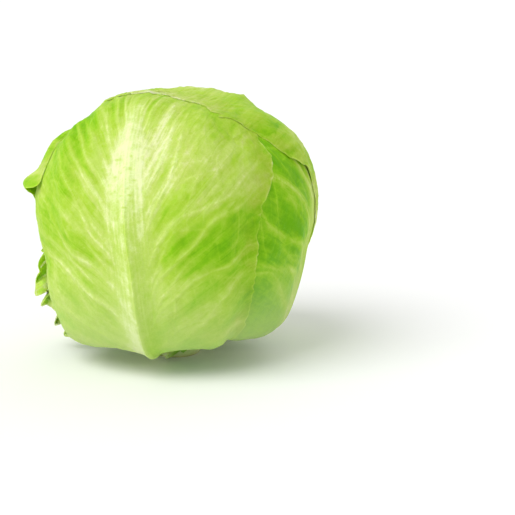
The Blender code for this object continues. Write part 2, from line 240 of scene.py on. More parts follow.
class Leaf(NamedTuple):
    """One leaf. Its blade is a flat sheet wrapped on the head round the point that it faces.

    Across is -1 to 1 between its side margins, and along is 0 at the stem to 1 at its tip. Azimuth and
    pitch are in degrees. Sizes in the flat sheet are in head radii: foot is from the stem's axis to the
    blade's base, half_width is at its broadest, reach is past the head's top, and start, sway and lean move
    the midrib sideways at its foot, middle and tip. Skew is the share that the right side gains in width,
    and shoulder the share that it gains above the middle only.

    Vein is the height kept free for veins. Waves of the margin have a height, wave, a share of it at the tip,
    a number in a turn and a shift, turn. Frills are torn and curled. Tone and tones make the leaf or a place
    paler. Vein_angles has the degrees at which the first and last vein leave the midrib, left and right.
    """

    name: str
    azimuth: float
    pitch: float
    half_width: float
    reach: float
    skew: float = 0.0
    shoulder: float = 0.0
    start: float = 0.0
    sway: float = 0.0
    lean: float = 0.0
    foot: float = 0.24
    rib_height: float = 4.0 * MM
    rib_width: float = 9.0 * MM
    vein: float = 0.5 * MM
    wave: float = 1.2 * MM
    waves: int = 11
    tip_wave: float = 0.3
    turn: float = 0.0
    flares: tuple = ()
    pleats: tuple = ()
    lobes: tuple = ()
    frills: tuple = ()
    tone: float = 0.0
    tones: tuple = ()
    vein_angles: tuple = ((62, 18), (62, 18))

    def axes(self):
        """The direction that the blade faces, and its right and up along the head's surface."""
        centre = bearing(self.azimuth, self.pitch)
        right = bearing(self.azimuth + 90, 0)
        return centre, right, np.cross(centre, right)

    def base(self):
        """Where the blade starts in the flat sheet, next to the stem."""
        return -math.radians(90 + self.pitch) + self.foot

    def length(self):
        """From the base to the tip in the flat sheet."""
        return math.radians(90 - self.pitch) + self.reach - self.base()

    def width(self, along):
        """Half the sheet's width: a clasping foot that soon fans out, and a rounded top."""
        fan = np.sin(np.clip(along / 0.55, 0, 1) * math.pi / 2) ** 0.62
        top = 1 - 0.42 * smooth_step((along - 0.62) / 0.42) ** 1.5
        return FOOT_WIDTH + (self.half_width - FOOT_WIDTH) * fan * top

    def midline(self, along):
        """Sideways place of the midrib in the flat sheet: from start it bows by sway and ends at lean."""
        return self.start * (1 - along) ** 2 + 4 * self.sway * along * (1 - along) + self.lean * along**2

    def side(self, sign, along):
        """How much wider than half_width the right side is, or the left side for a negative sign."""
        shoulder = self.shoulder * smooth_step((along - 0.5) / 0.25)
        share = 1 + self.skew * np.sign(sign) + np.where(sign > 0, shoulder, 0.0)
        for lobe in self.lobes:
            spread = np.where(along < lobe.along, lobe.below, lobe.above)
            more = lobe.share * hill(along - lobe.along, spread)
            share = share + np.where(sign * lobe.side > 0, more, 0.0)
        return share

    def aside(self, across, along):
        """Sideways distance from the midrib in the flat sheet."""
        return across * self.width(along) * self.side(across, along)

    def directions(self, across, along):
        """Unit vectors from the head's centre for places on the blade."""
        x = self.midline(along) + self.aside(across, along)
        y = self.base() + self.length() * along - ROW_BEND * x**2
        angle = np.hypot(x, y)
        shrink = np.sinc(angle / math.pi)
        centre, right, up = self.axes()
        cos = np.cos(angle)
        return cos[..., None] * centre + (shrink * x)[..., None] * right + (shrink * y)[..., None] * up

    def places(self, directions):
        """Across and along for unit vectors: the reverse of directions."""
        centre, right, up = self.axes()
        to_right, to_up = directions @ right, directions @ up
        side = np.maximum(np.hypot(to_right, to_up), 1e-9)
        angle = np.arctan2(side, directions @ centre)
        x, y = angle * to_right / side, angle * to_up / side
        along = (y - self.base() + ROW_BEND * x**2) / self.length()
        held = np.clip(along, 0, 1)
        aside = x - self.midline(held)
        return aside / (self.width(held) * self.side(aside, held)), along

    def edge(self, across, along):
        """0 in the blade's middle, 1 on its margins."""
        return np.clip(np.maximum(np.abs(across), along), 0, 1)

    def rib(self, across, along, spread=1.0):
        """Height of the midrib, broad and deep at the foot and gone before the tip."""
        held = np.clip(along, 0, 1)
        offset = self.aside(across, held) * BLADE_RADIUS
        broad = self.rib_width * (1 - 0.72 * held) * spread
        return self.rib_height * (1 - held) ** RIB_TAPER * hill(offset, broad)

    def near(self, spots, across, along):
        """Total height of the given spots at places on the blade."""
        total = np.zeros(np.shape(across))
        held = np.clip(along, 0, 1)
        for spot in spots:
            beside = self.aside(across, held) - self.aside(spot.across, held)
            apart = np.hypot(beside, (along - spot.along) * self.length())
            total = total + spot.height * hill(apart, spot.spread)
        return total

    def stand_off(self, across, along):
        """How far the blade stands off the head for its flares and pleats."""
        total = self.near(self.flares, across, along)
        held = np.clip(along, 0, 1)
        for pleat in self.pleats:
            middle = pleat.across * (0.25 + 0.75 * held)
            beside = self.aside(across, held) - self.aside(middle, held)
            ends = smooth_step(held / 0.4) * smooth_step((1 - held) / 0.3)
            total = total + pleat.height * ends * hill(beside, pleat.spread)
        return total

    def margin_wave(self, across, along, start):
        """Height that the waves reach: nothing inside start, and less at the tip than at the sides."""
        near = smooth_step((self.edge(across, along) - start) / (1 - start))
        return self.wave * near * (1 - (1 - self.tip_wave) * smooth_step((along - 0.6) / 0.3))

    def round_blade(self, across, along):
        """Angle round the blade's middle, which tells places on the margin apart."""
        return np.arctan2(self.aside(across, along), (along - 0.45) * self.length())

    def lift(self, across, along):
        """Waves that grow towards the margins, flares and pleats."""
        ripple = 0.5 + 0.5 * np.sin(self.waves * self.round_blade(across, along) + self.turn)
        return self.margin_wave(across, along, WAVE_START) * ripple + self.stand_off(across, along)

    def room(self, across, along):
        """The space that this leaf takes under the next one, which bridges its rib and its ripples."""
        rib = self.rib(across, along, BRIDGE)
        wave = self.margin_wave(across, along, ROOM_START)
        return GAP + BLADE + self.vein + rib + wave + self.stand_off(across, along)

    def cover(self, across, along):
        """1 over the blade, falling to 0 a little way outside it."""
        held = np.clip(along, 0, 1)
        beside = (np.abs(across) - 1) * self.width(held)
        beyond = np.maximum(along - 1, -along) * self.length()
        outside = np.maximum(beside, beyond)
        return 1 - smooth_step((outside - DRAPE_START) / (DRAPE_END - DRAPE_START))


def heart_radius(directions):
    """Distance of the heart's skin from the head's centre: a turned oval with low lumps."""
    elevations = np.arange(-90, 91)
    corners = np.interp(elevations, *zip(*HEART_PROFILE)) * MM
    window = np.hanning(2 * PROFILE_BLEND + 1)
    padded = np.pad(corners, PROFILE_BLEND, mode="reflect")
    rounded = np.convolve(padded, window / window.sum(), mode="valid")
    elevation = np.degrees(np.arcsin(np.clip(directions[..., 2], -1, 1)))
    oval = np.interp(elevation, elevations, rounded)
    for azimuth, pitch, spread, height in LUMPS:
        apart = np.degrees(np.arccos(np.clip(directions @ bearing(azimuth, pitch), -1, 1)))
        oval = oval + height * MM * hill(apart, spread)
    return oval


def support(directions, beneath):
    """Distance from the head's centre of the skin that the next leaf lies on."""
    radius = heart_radius(directions)
    for leaf in beneath:
        across, along = leaf.places(directions)
        radius = radius + leaf.cover(across, along) * leaf.room(across, along)
    return radius


def head_leaves():
    """The leaves between the heart and the wrappers, each a golden angle on from the last."""
    return [
        Leaf(
            f"head_leaf_{n + 1}", 20 + GOLDEN_ANGLE * n, 12, 1.02 + 0.02 * n, 0.35 + 0.02 * n,
            lean=0.08 * (-1) ** n, foot=0.27 - 0.01 * n, rib_height=2.0 * MM + 0.3 * MM * n,
            rib_width=11 * MM, vein=0.3 * MM, wave=0.4 * MM, waves=5, turn=n,
        )
        for n in range(HEAD_LEAVES)
    ]


def wrapper_leaves():
    """The four outer leaves, the innermost first."""
    right = Leaf(
        "wrapper_leaf_right", 92, 4, 1.12, 0.12, skew=-0.08, lean=0.05, wave=1.8 * MM, waves=14, turn=1.0,
        flares=(Flare(0.9, 0.3, 0.2, 3 * MM),),
        pleats=(Pleat(-0.7, 0.10, 1.2 * MM), Pleat(0.5, 0.10, 1.5 * MM)), tone=-0.30,
    )
    front = Leaf(
        "wrapper_leaf_front", -18, 8, 1.21, 0.10, skew=-0.174, shoulder=0.21, start=0.06, sway=0.07,
        lean=-0.25, foot=0.225, rib_height=6.0 * MM, rib_width=11 * MM, wave=1.8 * MM, waves=15, turn=0.4,
        pleats=(Pleat(-0.60, 0.09, 2.0 * MM), Pleat(-0.33, 0.07, 1.2 * MM), Pleat(0.6, 0.10, 1.2 * MM)),
        vein_angles=((66, 17), (62, 11)),
        tones=(
            Flare(0.62, 0.42, 0.36, -0.30), Flare(-0.50, 0.74, 0.25, -0.32), Flare(0.44, 0.64, 0.34, 0.28),
            Flare(0.80, 0.62, 0.22, 0.08), Flare(0.10, 0.82, 0.20, -0.06),
        ),
    )
    left = Leaf(
        "wrapper_leaf_left", -142, 6, 1.0, -0.08, skew=-0.1, shoulder=-0.22, lean=0.05, wave=2.0 * MM,
        waves=15, turn=2.2,
        lobes=(
            Lobe(1, 0.706, 0.094, 0.042, 0.53), Lobe(1, 0.27, 0.10, 0.10, 0.15), Lobe(1, 1, 0.14, 0.2, -0.25),
        ),
        flares=(
            Flare(0.92, 0.628, 0.13, 7.5 * MM), Flare(1, 0.67, 0.07, 2.5 * MM), Flare(1, 0.31, 0.2, 3 * MM),
        ),
        pleats=(Pleat(-0.5, 0.10, 1.5 * MM), Pleat(0.5, 0.10, 1.2 * MM)),
        frills=(Flare(1.0, 0.29, 0.30, 9 * MM), Flare(1.0, 0.17, 0.14, 10 * MM)),
        # The second tone is painted light: the frills at the lower left are paler, as if lit through
        tones=(Flare(0.9, 0.67, 0.3, -0.05), Flare(1.0, 0.26, 0.35, 0.40)),
    )
    back = Leaf(
        "wrapper_leaf_back", 152, 30, 1.12, 0.26, lean=-0.05, wave=1.2 * MM, waves=14, tip_wave=0.5,
        lobes=(Lobe(-1, 0.86, 0.12, 0.12, 0.22),),
        flares=(Flare(-0.95, 0.75, 0.2, 1.5 * MM), Flare(1.0, 0.5, 0.25, 2 * MM)),
        pleats=(Pleat(-0.4, 0.10, 1.8 * MM), Pleat(0.45, 0.10, 1.5 * MM)), tone=0.02,
        # The paler tip is a painted sheen where the leaf turns over the top
        tones=(Flare(0.1, 1.0, 0.3, 0.32),),
    )
    return [right, front, left, back]


def corner_value(i, j, seed):
    """A fixed random value from -1 to 1 for each corner of a grid."""
    mixed = (i * 374761393 + j * 668265263 + seed * 144269504) & 0x7FFFFFFF
    mixed = ((mixed ^ (mixed >> 13)) * 1274126177) & 0x7FFFFFFF
    return ((mixed ^ (mixed >> 16)) & 0xFFFF) / 32767.5 - 1


def noise(x, y, seed):
    """Smooth random values from -1 to 1, with one lump to a unit."""
    i, j = np.floor(x).astype(np.int64), np.floor(y).astype(np.int64)
    u, v = smooth_step(x - i), smooth_step(y - j)
    low = corner_value(i, j, seed) * (1 - u) + corner_value(i + 1, j, seed) * u
    high = corner_value(i, j + 1, seed) * (1 - u) + corner_value(i + 1, j + 1, seed) * u
    return low * (1 - v) + high * v


def layered(x, y, layers, seed):
    """The total of some layers of noise."""
    return sum(share * noise(x / wide, y / long, seed + own) for wide, long, share, own in layers)


class Sheet:
    """A leaf's flat sheet in millimetres: x sideways from the midrib and y up from the foot."""

    def __init__(self, leaf):
        self.length = leaf.length() * BLADE_RADIUS / MM
        along = np.arange(int(self.length) + 2) / self.length
        scale = leaf.width(along) * BLADE_RADIUS / MM
        self.left = (scale * leaf.side(-1, along)).tolist()
        self.right = (scale * leaf.side(1, along)).tolist()
        self.taken = set()

    def holds(self, x, y):
        """True where the sheet has blade."""
        if y < 0 or y > self.length:
            return False
        return -self.left[int(y)] <= x <= self.right[int(y)]

    def mark(self, points):
        """Notes the cells that a vein runs through, and those next to them."""
        for x, y, *_ in points:
            i, j = int(x // CELL), int(y // CELL)
            for k in (-1, 0, 1):
                self.taken.update(((i + k, j - 1), (i + k, j), (i + k, j + 1)))

    def meets(self, x, y):
        """True where a vein already runs."""
        return (int(x // CELL), int(y // CELL)) in self.taken


def band_width(along):
    """Half the width of the midrib's bundle of strands, in millimetres."""
    return np.interp(along, BAND_ALONG, BAND_WIDTH)


def fan_angle(leaf, sign, along):
    """Angle in radians at which a vein that leaves the midrib at a place along it runs out."""
    low, high = leaf.vein_angles[0 if sign < 0 else 1]
    return np.radians(np.interp(along, (FAN_START, FIRST_VEIN, LAST_VEIN, 1.0), (95, low, high, 4)))


def fan_place(leaf, x, y):
    """Where the vein through each place leaves the midrib, and how far out the place is on it."""
    length = leaf.length() * BLADE_RADIUS / MM
    found, out = np.full(x.shape, FAN_START), np.zeros(x.shape)
    angles = {}
    for sign in (-1, 1):
        angles[sign] = [float(fan_angle(leaf, sign, along)) for along in FAN_STEPS]
    before = np.full(x.shape, -1.0)
    open_still = np.ones(x.shape, bool)
    for number, along in enumerate(FAN_STEPS):
        angle = np.where(x < 0, angles[-1][number], angles[1][number])
        beside, above = np.abs(x) - band_width(along), y - along * length
        below = beside * np.cos(angle) - above * np.sin(angle)
        hit = open_still & (below > 0)
        share = before / (before - below - 1e-9)
        step = FAN_STEPS[1] - FAN_STEPS[0]
        found = np.where(hit, along - step * (1 - np.clip(share, 0, 1)), found)
        out = np.where(hit, np.hypot(beside, above), out)
        open_still &= ~hit
        before = np.minimum(below, -1e-9)
    return np.where(open_still, 1.0, found), out


def run_vein(sheet, start, heading, target, draw, taper, bend, free, limit):
    """Points of one vein: it turns from its heading to its target and ends at the margin or at a vein.

    Taper is the width and height it starts with, and the length over which they fall to a third. Bend is
    the length that its turn takes.
    """
    x, y = start
    wide, high, fade = taper
    points, drift, gone = [], 0.0, 0.0
    while sheet.holds(x, y) and gone < limit:
        if gone > free and sheet.meets(x, y):
            break
        share, begun = max(1 - gone / fade, 0.33), min(0.17 + gone / 25, 1)
        points.append((x, y, wide * share * (0.4 + 0.6 * begun), high * share * begun))
        drift = drift * 0.95 + draw.gauss(0, 0.0032)
        heading += (target * (1 - gone / 400) - heading) * STEP / bend + drift
        x += STEP * math.sin(heading)
        y += STEP * math.cos(heading)
        gone += STEP
    return points


def strand(sheet, sign, rank, twin, leaves_at):
    """The part of a main vein that runs up in the midrib. Those that leave it first lie outermost."""
    points = []
    for step in range(int(leaves_at * sheet.length / STEP)):
        y = step * STEP
        along = y / sheet.length
        gone = max(STRANDS * (along - FIRST_VEIN) / (LAST_VEIN - FIRST_VEIN), 0) - 0.5
        place = (STRANDS - rank - TWIN_SHIFT * twin) / (STRANDS - gone)
        x = sign * STRAND_BAND * float(band_width(along)) * min(place, 1.0)
        points.append((x + 0.5 * math.sin(y / 13 + 2 * rank + twin), y, 0.5, 0.1))
    return points


def main_veins(leaf, sheet, draw):
    """The strands of the midrib, which leave it one after another, each with its free part."""
    veins = []
    for sign, rank, twin in product((-1, 1), range(STRANDS), (0, 1)):
        share = (rank + 0.5 + TWIN_SHIFT * twin) / STRANDS
        leaves_at = FIRST_VEIN + (LAST_VEIN - FIRST_VEIN) * share
        points = strand(sheet, sign, rank, twin, leaves_at)
        angle = float(fan_angle(leaf, sign, leaves_at)) + math.radians(draw.uniform(-3, 2) - 5 * twin)
        free = run_vein(sheet, points[-1][:2], 0.0, sign * angle, draw, MAIN_TAPERS[twin], 10, 400, 400)
        sheet.mark(points + free)
        veins.append((points, free))
    return veins


def branches(sheet, parents, draw, spacing, turn, taper, limit):
    """Side veins on both sides of the parents, each ending where it meets another vein."""
    grown = []
    for parent in parents:
        at, sign = draw.uniform(*spacing), draw.choice((-1, 1))
        while at / STEP < len(parent) - 3:
            step = int(at / STEP)
            (x, y), (next_x, next_y) = parent[step][:2], parent[step + 2][:2]
            heading = math.atan2(next_x - x, next_y - y)
            target = heading + sign * math.radians(draw.uniform(*turn))
            points = run_vein(sheet, (x, y), target, target, draw, taper, 9, 1.8, limit)
            if len(points) > 8:
                sheet.mark(points)
                grown.append(points)
            at += draw.uniform(*spacing)
            sign = -sign
    return grown


def grow_veins(leaf, seed):
    """Points of the main veins, of their branches and of the net between them."""
    draw = random.Random(seed)
    sheet = Sheet(leaf)
    mains = main_veins(leaf, sheet, draw)
    free = [vein for _, vein in mains]
    side = branches(sheet, free, draw, *SIDE_VEINS)
    net = branches(sheet, free + side, draw, *NET_VEINS)
    return [p for points, vein in mains for p in points + vein], sum(side, []), sum(net, [])


def nearest(points, x, y):
    """For each place, the distance to the nearest of a class of veins, and that vein's width and height."""
    tree = kdtree.KDTree(len(points))
    for number, point in enumerate(points):
        tree.insert((point[0], point[1], 0), number)
    tree.balance()
    found = [tree.find((a, b, 0.0))[1:] for a, b in zip(x.ravel().tolist(), y.ravel().tolist())]
    index, distance = (np.array(values) for values in zip(*found))
    sizes = np.array(points)[index]
    return distance.reshape(x.shape), sizes[:, 2].reshape(x.shape), sizes[:, 3].reshape(x.shape)


def line(veins, widths, more, full):
    """1 on a vein and 0 off it, over some widths and a little more. Veins lower than full are fainter."""
    apart, wide, high = veins
    return hill(apart, widths * wide + more) * np.clip(high / full, 0, 1)


def margin_cut(leaf, side, along, seed):
    """The grid's places with lobes and teeth cut into the margins."""
    place = leaf.round_blade(side, along) * LOBES_ROUND
    ragged = RAGGED + leaf.near(leaf.frills, side, along) / FRILL_CUT
    lobes = noise(place, 0 * place, seed) + 1.2 * noise(place * TEETH, 0 * place, seed + 1)
    cut = ragged * (0.9 + lobes)
    across = side * (1 - cut * smooth_step((np.abs(side) - 0.8) / 0.2) * smooth_step(along / 0.15))
    return across, along * (1 - cut * smooth_step((along - 0.85) / 0.15))


def frill(leaf, side, along, seed):
    """How far the margin stands off in small frills."""
    place = leaf.round_blade(side, along) * FRILLS_ROUND
    rim = smooth_step((leaf.edge(side, along) - FRILL_START) / (1 - FRILL_START)) ** 1.4
    curl = 0.5 + 0.5 * np.sin(place * CURLS + CURL_DRIFT * noise(place, 0 * place, seed + 2))
    height = FRILL_HEIGHT + leaf.near(leaf.frills, side, along)
    return rim * smooth_step(along / 0.12) * height * curl


def survey(leaf, across, along, seed):
    """What shapes and colours a fine sheet at places on it.

    X and y are millimetres. Mains, branched and net have the nearest vein of each class. Leaving is where the
    vein through a place leaves the midrib, and out the distance out on it. Rib is 1 in the midrib's band, and
    puff is 1 far from the veins.
    """
    x = leaf.aside(across, along) * BLADE_RADIUS / MM
    y = along * leaf.length() * BLADE_RADIUS / MM
    mains, branched, net = (nearest(points, x, y) for points in grow_veins(leaf, seed))
    leaving, out = fan_place(leaf, x, y)
    band = np.exp(-((np.abs(x) / (1.08 * band_width(along))) ** 4))
    return SimpleNamespace(
        across=across, along=along, x=x, y=y, leaving=leaving, out=out,
        mains=mains, branched=branched, net=net,
        rib=band * (1 - smooth_step((along - 0.7) / 0.3)),
        puff=1 - hill(np.maximum(np.minimum(mains[0] - 1, branched[0]), 0), PUFF_WIDTH),
        soft=layered(x, y, SOFT, seed),
        pleat=layered(leaving, out, PLEAT, seed),
        streak=layered(leaving, out, STREAK, seed),
    )


def rib_marks(at, seed):
    """1 on the short cross marks of the midrib and 0 off them."""
    draw = random.Random(seed)
    marks = np.zeros(at.x.shape)
    for _ in range(14):
        x, y, half_length = draw.gauss(-1, 5), draw.uniform(118, 150), draw.uniform(0.6, 1.6)
        marks = marks + hill(at.x - x, half_length) * hill(at.y - y, 0.5)
    return marks


def raised(at, seed):
    """Height in millimetres of the veins, of the midrib's keel and of the grain of blade and midrib."""
    veins = sum(high * hill(apart, wide) for apart, wide, high in (at.mains, at.branched, at.net))
    keel = np.exp(-np.abs(at.x) / KEEL_WIDTH) * (1 - smooth_step((at.along - 0.4) / 0.35))
    crinkle = layered(at.leaving, at.out, CRINKLE, seed) * smooth_step((at.along - 0.2) / 0.3)
    blade = at.streak + crinkle + layered(at.x, at.y, DIMPLE, seed)
    return veins + KEEL_HEIGHT * keel + blade * (1 - at.rib) + layered(at.x, at.y, FIBRE, seed) * at.rib


def paleness(leaf, at, foot, seed):
    """0 for the greenest blade, 1 for the palest rib, with a painted highlight and no painted shade yet."""
    strong = smooth_step((at.along - 0.10) / 0.32) * (1 - 0.75 * smooth_step((at.along - 0.66) / 0.2))
    varied = 0.65 + layered(at.leaving, at.out, VARIED, seed)
    patch = 0.6 + layered(at.x, at.y, PATCH, seed)
    base = BASE_PALE + 0.10 * at.soft + at.streak - 0.26 * at.puff * patch - 0.08 * at.pleat
    # A paler middle of the blade, partly a painted highlight where the light falls broadest on the midrib
    base = base + MIDDLE_PALE_AND_HIGHLIGHT * hill(at.along - MIDDLE_ALONG, 0.16) * hill(at.x, 28)
    base = base + leaf.tone + leaf.near(leaf.tones, at.across, at.along)
    # The rib is paler, most in the middle, where this is partly a painted highlight
    rib_pale_and_highlight = 0.35 + 0.60 * hill(at.along - MIDDLE_ALONG, 0.15)
    dark = (1 - np.clip(base, 0, 1)) * (1 - at.rib * rib_pale_and_highlight) * (1 - 0.22 * foot)
    for kind, share, widths, more, full in GLOWS:
        reach = strong * varied if kind == "mains" else strong
        dark = dark * (1 - share * reach * line(getattr(at, kind), widths, more, full))
    return 1 - dark


def shape_blade(leaf, cells, seed):
    """The shape and the looks of a leaf on a grid of the given number of cells each way.

    Foot is 1 at the greyer foot. Fan has where the vein through a point leaves the midrib, the distance out
    on it and the half of the leaf, and flat has x, y and rib.
    """
    column, row = np.meshgrid(np.arange(cells + 1), np.arange(cells + 1))
    side, up = 2 * column / cells - 1, row / cells
    at = survey(leaf, *margin_cut(leaf, side, up, seed), seed)
    fold = (SOFT_FOLD * at.soft + PLEAT_FOLD * at.pleat + PUFF_FOLD * at.puff) * (1 - at.rib)
    foot = 1 - smooth_step((at.along - 0.05) / 0.36)
    # Painted light on the keel's left flank near the foot and painted shade on its right flank
    flank_light_and_shade = at.rib * hill(at.along - 0.08, 0.16) * np.tanh(at.x / 1.5)
    # Painted shade under the foot, right of the keel, where the leaf turns in towards the floor
    under = hill(at.along, 0.13) * smooth_step(at.x / 8) * smooth_step((80 - at.x) / 50)
    marks = rib_marks(at, seed)
    margin = smooth_step((leaf.edge(side, up) - 0.985) / 0.015)
    # Painted light and shade on the keel's flanks, painted shade under the foot, and the rib's own darker
    # cross marks
    shade = FLANK_LIGHT_AND_SHADE * flank_light_and_shade + UNDER_SHADE * under + MARK_SHADE * marks
    leaves_at = at.leaving * leaf.length() * BLADE_RADIUS / MM
    return SimpleNamespace(
        across=at.across, along=at.along,
        fold=fold * MM,
        frill=frill(leaf, side, up, seed),
        relief=(raised(at, seed) - MARK_DEPTH * marks) * MM,
        pale=paleness(leaf, at, foot, seed) + EDGE_GLOW * margin - shade,
        # Less of the greyer foot colour where the painted shade lies, so that the painted shade shows
        foot=foot * (1 - 0.7 * np.maximum(flank_light_and_shade, 0)) * (1 - 0.7 * under),
        fan=np.stack([leaves_at, at.out, 40 * np.sign(at.x) + seed], axis=-1),
        flat=np.stack([at.x, at.y, at.rib], axis=-1),
    )


class Skin(NamedTuple):
    """The outer face of a sheet that is in place: its distances from the head's centre on a grid."""

    leaf: Leaf
    radius: np.ndarray

    def over(self, directions):
        """Distance of the face from the head's centre in given directions, and 0 where there is none."""
        across, along = self.leaf.places(directions)
        last = len(self.radius) - 1
        column, row = (across + 1) / 2 * last, along * last
        inside = (column >= 0) & (column < last) & (row >= 0) & (row < last)
        column, row = np.where(inside, column, 0), np.where(inside, row, 0)
        i, j = row.astype(int), column.astype(int)
        u, v = row - i, column - j
        low = self.radius[i, j] * (1 - v) + self.radius[i, j + 1] * v
        high = self.radius[i + 1, j] * (1 - v) + self.radius[i + 1, j + 1] * v
        return np.where(inside, low * (1 - u) + high * u, 0.0)


def draped(grid):
    """A grid of heights with narrow gaps bridged and steps rounded off, nowhere lower than it was."""
    smooth = grid
    for measure in (np.max, np.min, np.mean):
        for axis in (0, 1):
            widths = [(0, 0), (0, 0)]
            widths[axis] = (DRAPE_CELLS, DRAPE_CELLS)
            padded = np.pad(smooth, widths, mode="edge")
            windows = np.lib.stride_tricks.sliding_window_view(padded, 2 * DRAPE_CELLS + 1, axis=axis)
            smooth = measure(windows, axis=-1)
    return np.maximum(smooth, grid)


def inner_radius(leaf, blade, beneath, skins):
    """Directions from the head's centre, and a sheet's distance in each. Margins lie on what is beneath."""
    directions = leaf.directions(blade.across, blade.along)
    lift = leaf.lift(blade.across, blade.along)
    free = support(directions, beneath) + GAP + lift + blade.fold + blade.frill
    solid = [inner for inner in beneath if inner.name.startswith("head_leaf")]
    faces = [skin.over(directions) for skin in skins] + [support(directions, solid)]
    skin = draped(np.maximum.reduce(faces)) + TOUCH
    stand = leaf.near(leaf.flares, blade.across, blade.along)
    close = skin + stand + SETTLED_WAVE * (lift - stand) + blade.frill
    edge = leaf.edge(blade.across, blade.along)
    settled = smooth_step((edge - SETTLE_START) / (SETTLE_END - SETTLE_START))
    return directions, np.maximum(free * (1 - settled) + close * settled, skin)


def grid_normals(points):
    """Unit normals of a grid of points, pointing away from the head's centre."""
    normals = np.cross(np.gradient(points, axis=1), np.gradient(points, axis=0))
    normals /= np.linalg.norm(normals, axis=-1, keepdims=True)
    outward = points - np.array([0, 0, CENTRE_Z])
    facing = np.sign((normals * outward).sum(-1, keepdims=True))
    return normals * facing


def rim_of(grid):
    """The border of a grid of numbers, the foot first and then up the right side."""
    return np.concatenate([grid[0, :-1], grid[:-1, -1], grid[-1, :0:-1], grid[:0:-1, 0]])


def quads_of(grid):
    """The four corners of each cell of a grid of numbers."""
    corners = grid[:-1, :-1], grid[:-1, 1:], grid[1:, 1:], grid[1:, :-1]
    return np.stack([c.ravel() for c in corners], axis=1)


def rim_faces(near, far):
    """Faces that join a coarse border to one three times as dense. Corners are number, place and side."""
    faces = []
    for number, a in enumerate(near):
        ends = [(a, number, 1), (near[(number + 1) % len(near)], number + 1, 1)]
        chain = [(far[(number * STRIDE + k) % len(far)], number + k / STRIDE, 0) for k in range(STRIDE + 1)]
        faces += [(chain[1], chain[0], ends[0]), (chain[2], chain[1], ends[0])]
        faces += [(ends[0], ends[1], chain[2]), (chain[3], chain[2], ends[1])]
    return faces


def island(wide, box):
    """Places in the texture for a square grid of points: box is its left, bottom, width and height."""
    across, up = np.meshgrid(np.linspace(0, 1, wide), np.linspace(0, 1, wide))
    return np.stack([box[0] + box[2] * across.ravel(), box[1] + box[3] * up.ravel()], axis=1)


def rim_place(along, level, cells):
    """Place in the texture of a point of the rim, whose four sides lie over each other as strips."""
    side = min(along // cells, 3)
    left, bottom, width, height = RIM_ISLAND
    return left + width * (along / cells - side), bottom + height * (side + 0.6 * level) / 4


def sheet_mesh(name, cells, outer, inner):
    """A dense outer face, a coarser inner face and a rim between them, with their places in the texture."""
    wide, coarse_wide = cells + 1, cells // STRIDE + 1
    dense = np.arange(wide * wide).reshape(wide, wide)
    coarse = wide * wide + np.arange(coarse_wide**2).reshape(coarse_wide, coarse_wide)
    points = np.concatenate([outer.reshape(-1, 3), inner[::STRIDE, ::STRIDE].reshape(-1, 3)])
    faces = quads_of(dense).tolist() + quads_of(coarse)[:, ::-1].tolist()
    islands = np.concatenate([island(wide, OUTER_ISLAND), island(coarse_wide, INNER_ISLAND)])
    places = islands[np.array(faces).ravel()].tolist()
    for corners in rim_faces(rim_of(coarse), rim_of(dense)):
        faces.append([int(number) for number, _, _ in corners])
        places += [rim_place(along, level, coarse_wide - 1) for _, along, level in corners]
    mesh = bpy.data.meshes.new(name)
    mesh.from_pydata(points, [], faces)
    mesh.uv_layers.new(name="OFBake").data.foreach_set("uv", np.array(places, np.float32).ravel())
    mesh.shade_smooth()
    mesh.set_sharp_from_angle(angle=SHARP)
    return mesh


def store_looks(mesh, blade):
    """Writes what the material reads at each point of the mesh."""
    for label in ("pale", "foot", "fan", "flat"):
        values = getattr(blade, label)
        size = values.shape[2:]
        attribute = mesh.attributes.new(label, "FLOAT_VECTOR" if size else "FLOAT", "POINT")
        both = np.concatenate([values.reshape(-1, *size), values[::STRIDE, ::STRIDE].reshape(-1, *size)])
        attribute.data.foreach_set("vector" if size else "value", both.astype(np.float32).ravel())


def add_sheet(name, leaf, beneath, skins, cells, seed):
    """A fine leaf in place of its node, and its skin for the leaves that lie on it."""
    blade = shape_blade(leaf, cells, seed)
    directions, radius = inner_radius(leaf, blade, beneath, skins)
    centre = np.array([0, 0, CENTRE_Z])
    inner = directions * radius[..., None] + centre
    thin = smooth_step((leaf.edge(blade.across, blade.along) - THIN_START) / (1 - THIN_START))
    thick = BLADE + (MARGIN - BLADE) * thin + leaf.rib(blade.across, blade.along) + blade.relief
    outer = inner + grid_normals(inner) * np.maximum(thick, MARGIN)[..., None]
    mesh = sheet_mesh(name, cells, outer, inner)
    store_looks(mesh, blade)
    obj = bpy.data.objects.new(name, mesh)
    bpy.context.scene.collection.objects.link(obj)
    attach(obj, "root")
    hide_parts(leaf.name)
    return obj, Skin(leaf, np.linalg.norm(outer - centre, axis=-1))


def linear(code):
    """Linear RGBA of a web colour."""
    values = [int(code[i : i + 2], 16) / 255 for i in (1, 3, 5)]
    return tuple(v / 12.92 if v <= 0.04045 else ((v + 0.055) / 1.055) ** 2.4 for v in values) + (1.0,)


